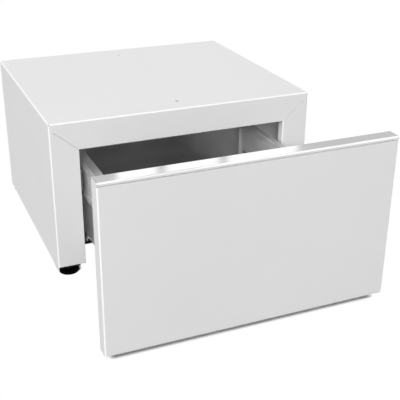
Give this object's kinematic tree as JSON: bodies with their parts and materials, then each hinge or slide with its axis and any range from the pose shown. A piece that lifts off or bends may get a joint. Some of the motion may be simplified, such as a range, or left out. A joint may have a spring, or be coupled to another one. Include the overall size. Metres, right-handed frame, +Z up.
{
  "type": "laundry plinth with a drawer",
  "caption": "Low white sheet-steel plinth that raises a washing machine, with one wide drawer on full-extension ball runners, standing open, and levelling feet.",
  "frame": {"origin": "on the floor, under the middle of the outer box with the drawer open as pictured", "axes": "+X to the right seen from the front, +Y from the drawer front to the rear panel, +Z up"},
  "size_m": [0.596, 0.8694, 0.3614],
  "materials": {
    "white_paint": "satin white powder coat",
    "zinc_plate": "zinc plated, satin",
    "black_coat": "satin black coat",
    "bare_steel": "plain galvanised sheet, satin",
    "bright_strip": "bright polished",
    "bumper_rubber": "matte",
    "foot_plastic": "matte black",
    "hardware": "zinc plated"
  },
  "bodies": {
    "cabinet": {"cabinet_shell": "white_paint", "rear_panel": "white_paint", "front_deck_stiffener": "zinc_plate", "rear_deck_stiffener": "zinc_plate", "front_cross_member": "black_coat", "rear_cross_member": "black_coat", "left_base_rail": "black_coat", "left_front_runner_post": "zinc_plate", "left_rear_runner_post": "zinc_plate", "left_cabinet_channel": "zinc_plate", "left_front_post_screw": "hardware", "left_rear_post_screw": "hardware", "left_lower_rear_screw": "hardware", "left_upper_rear_screw": "hardware", "right_base_rail": "black_coat", "right_front_runner_post": "zinc_plate", "right_rear_runner_post": "zinc_plate", "right_cabinet_channel": "zinc_plate", "right_front_post_screw": "hardware", "right_rear_post_screw": "hardware", "right_lower_rear_screw": "hardware", "right_upper_rear_screw": "hardware"},
    "drawer": {"front_panel": "white_paint", "panel_liner": "bare_steel", "handle_strip": "bright_strip", "drawer_back": "bare_steel", "drawer_bottom": "bare_steel", "left_front_channel_screw": "hardware", "left_rear_channel_screw": "hardware", "left_lower_front_screw": "hardware", "left_upper_front_screw": "hardware", "left_drawer_side": "bare_steel", "left_corner_bracket": "bare_steel", "left_drawer_channel": "zinc_plate", "left_strip_cap": "bright_strip", "left_bumper": "bumper_rubber", "right_front_channel_screw": "hardware", "right_rear_channel_screw": "hardware", "right_lower_front_screw": "hardware", "right_upper_front_screw": "hardware", "right_drawer_side": "bare_steel", "right_corner_bracket": "bare_steel", "right_drawer_channel": "zinc_plate", "right_strip_cap": "bright_strip", "right_bumper": "bumper_rubber"},
    "left_middle": {"left_middle_channel": "zinc_plate"},
    "left_cabinet_cage": {"left_cabinet_ball_cage": "hardware"},
    "left_drawer_cage": {"left_drawer_ball_cage": "hardware"},
    "right_middle": {"right_middle_channel": "zinc_plate"},
    "right_cabinet_cage": {"right_cabinet_ball_cage": "hardware"},
    "right_drawer_cage": {"right_drawer_ball_cage": "hardware"},
    "left_front_foot": {"left_front_foot_pad": "foot_plastic", "left_front_foot_bolt": "hardware"},
    "left_rear_foot": {"left_rear_foot_pad": "foot_plastic", "left_rear_foot_bolt": "hardware"},
    "right_front_foot": {"right_front_foot_pad": "foot_plastic", "right_front_foot_bolt": "hardware"},
    "right_rear_foot": {"right_rear_foot_pad": "foot_plastic", "right_rear_foot_bolt": "hardware"}
  },
  "joints": [
    {"name": "drawer_slide", "type": "slide", "parent": "cabinet", "child": "drawer", "axis": [0, -1, 0], "range_m": [-0.31, 0.14]},
    {"name": "left_middle_slide", "type": "slide", "parent": "cabinet", "child": "left_middle", "axis": [0, -1, 0], "range_m": [-0.1555, 0.0705]},
    {"name": "left_cabinet_cage_slide", "type": "slide", "parent": "cabinet", "child": "left_cabinet_cage", "axis": [0, -1, 0], "range_m": [-0.078, 0.0355]},
    {"name": "left_drawer_cage_slide", "type": "slide", "parent": "cabinet", "child": "left_drawer_cage", "axis": [0, -1, 0], "range_m": [-0.233, 0.1055]},
    {"name": "right_middle_slide", "type": "slide", "parent": "cabinet", "child": "right_middle", "axis": [0, -1, 0], "range_m": [-0.1555, 0.0705]},
    {"name": "right_cabinet_cage_slide", "type": "slide", "parent": "cabinet", "child": "right_cabinet_cage", "axis": [0, -1, 0], "range_m": [-0.078, 0.0355]},
    {"name": "right_drawer_cage_slide", "type": "slide", "parent": "cabinet", "child": "right_drawer_cage", "axis": [0, -1, 0], "range_m": [-0.233, 0.1055]},
    {"name": "left_front_foot_height", "type": "slide", "parent": "cabinet", "child": "left_front_foot", "axis": [0, 0, -1], "range_m": [0, 0.012]},
    {"name": "left_rear_foot_height", "type": "slide", "parent": "cabinet", "child": "left_rear_foot", "axis": [0, 0, -1], "range_m": [0, 0.012]},
    {"name": "right_front_foot_height", "type": "slide", "parent": "cabinet", "child": "right_front_foot", "axis": [0, 0, -1], "range_m": [0, 0.012]},
    {"name": "right_rear_foot_height", "type": "slide", "parent": "cabinet", "child": "right_rear_foot", "axis": [0, 0, -1], "range_m": [0, 0.012]}
  ],
  "couplings": [
    {"joint": "left_middle_slide", "follows": "drawer_slide", "ratio": 0.5},
    {"joint": "left_cabinet_cage_slide", "follows": "drawer_slide", "ratio": 0.25},
    {"joint": "left_drawer_cage_slide", "follows": "drawer_slide", "ratio": 0.75},
    {"joint": "right_middle_slide", "follows": "drawer_slide", "ratio": 0.5},
    {"joint": "right_cabinet_cage_slide", "follows": "drawer_slide", "ratio": 0.25},
    {"joint": "right_drawer_cage_slide", "follows": "drawer_slide", "ratio": 0.75}
  ]
}
